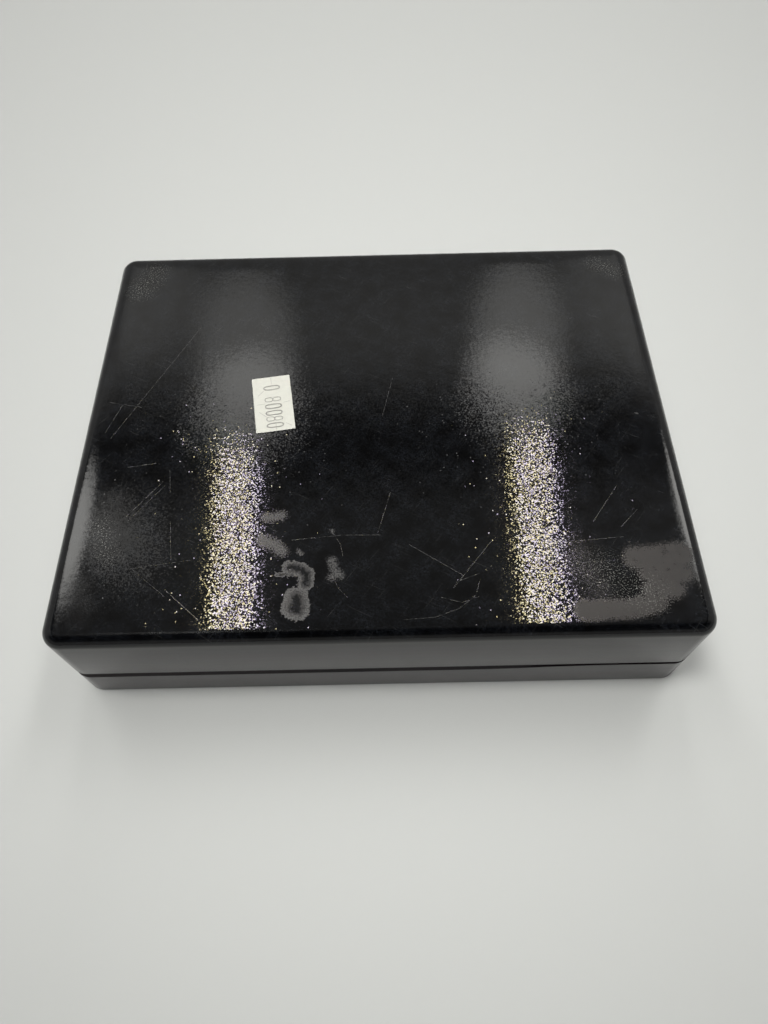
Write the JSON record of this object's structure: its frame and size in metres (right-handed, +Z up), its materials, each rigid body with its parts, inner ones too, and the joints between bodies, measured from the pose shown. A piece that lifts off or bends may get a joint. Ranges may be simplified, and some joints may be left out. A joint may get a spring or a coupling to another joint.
{
  "type": "lacquer box",
  "caption": "Low rectangular black lacquered wooden box with rounded corners and a deep lid that lifts off over an inner collar; felt on the floor.",
  "frame": {"origin": "centre of the underside, on the surface that the box stands on", "axes": "+X along the long side, +Y from the front to the back, +Z up, the way the lid lifts"},
  "size_m": [0.18, 0.1466, 0.0391],
  "materials": {
    "black_lacquer": "black lacquer, rubbed and polished, on wood",
    "collar_lacquer": "satin black lacquer on thin wood",
    "bare_wood": "unfinished hardwood, hidden",
    "felt": "pressed wool felt",
    "label_paper": "matt coated paper"
  },
  "bodies": {
    "base": {"base_floor_panel": "black_lacquer", "base_front_wall": "black_lacquer", "base_right_wall": "black_lacquer", "base_back_wall": "black_lacquer", "base_left_wall": "black_lacquer", "base_corner_keys": "bare_wood", "collar_front": "collar_lacquer", "collar_right": "collar_lacquer", "collar_back": "collar_lacquer", "collar_left": "collar_lacquer", "floor_felt": "felt"},
    "lid": {"lid_top_panel": "black_lacquer", "lid_front_wall": "black_lacquer", "lid_right_wall": "black_lacquer", "lid_back_wall": "black_lacquer", "lid_left_wall": "black_lacquer", "lid_corner_keys": "bare_wood", "price_label": "label_paper"}
  },
  "joints": [
    {"name": "lid_lift", "type": "slide", "parent": "base", "child": "lid", "axis": [0, 0, 1], "range_m": [0, 0.08]}
  ]
}
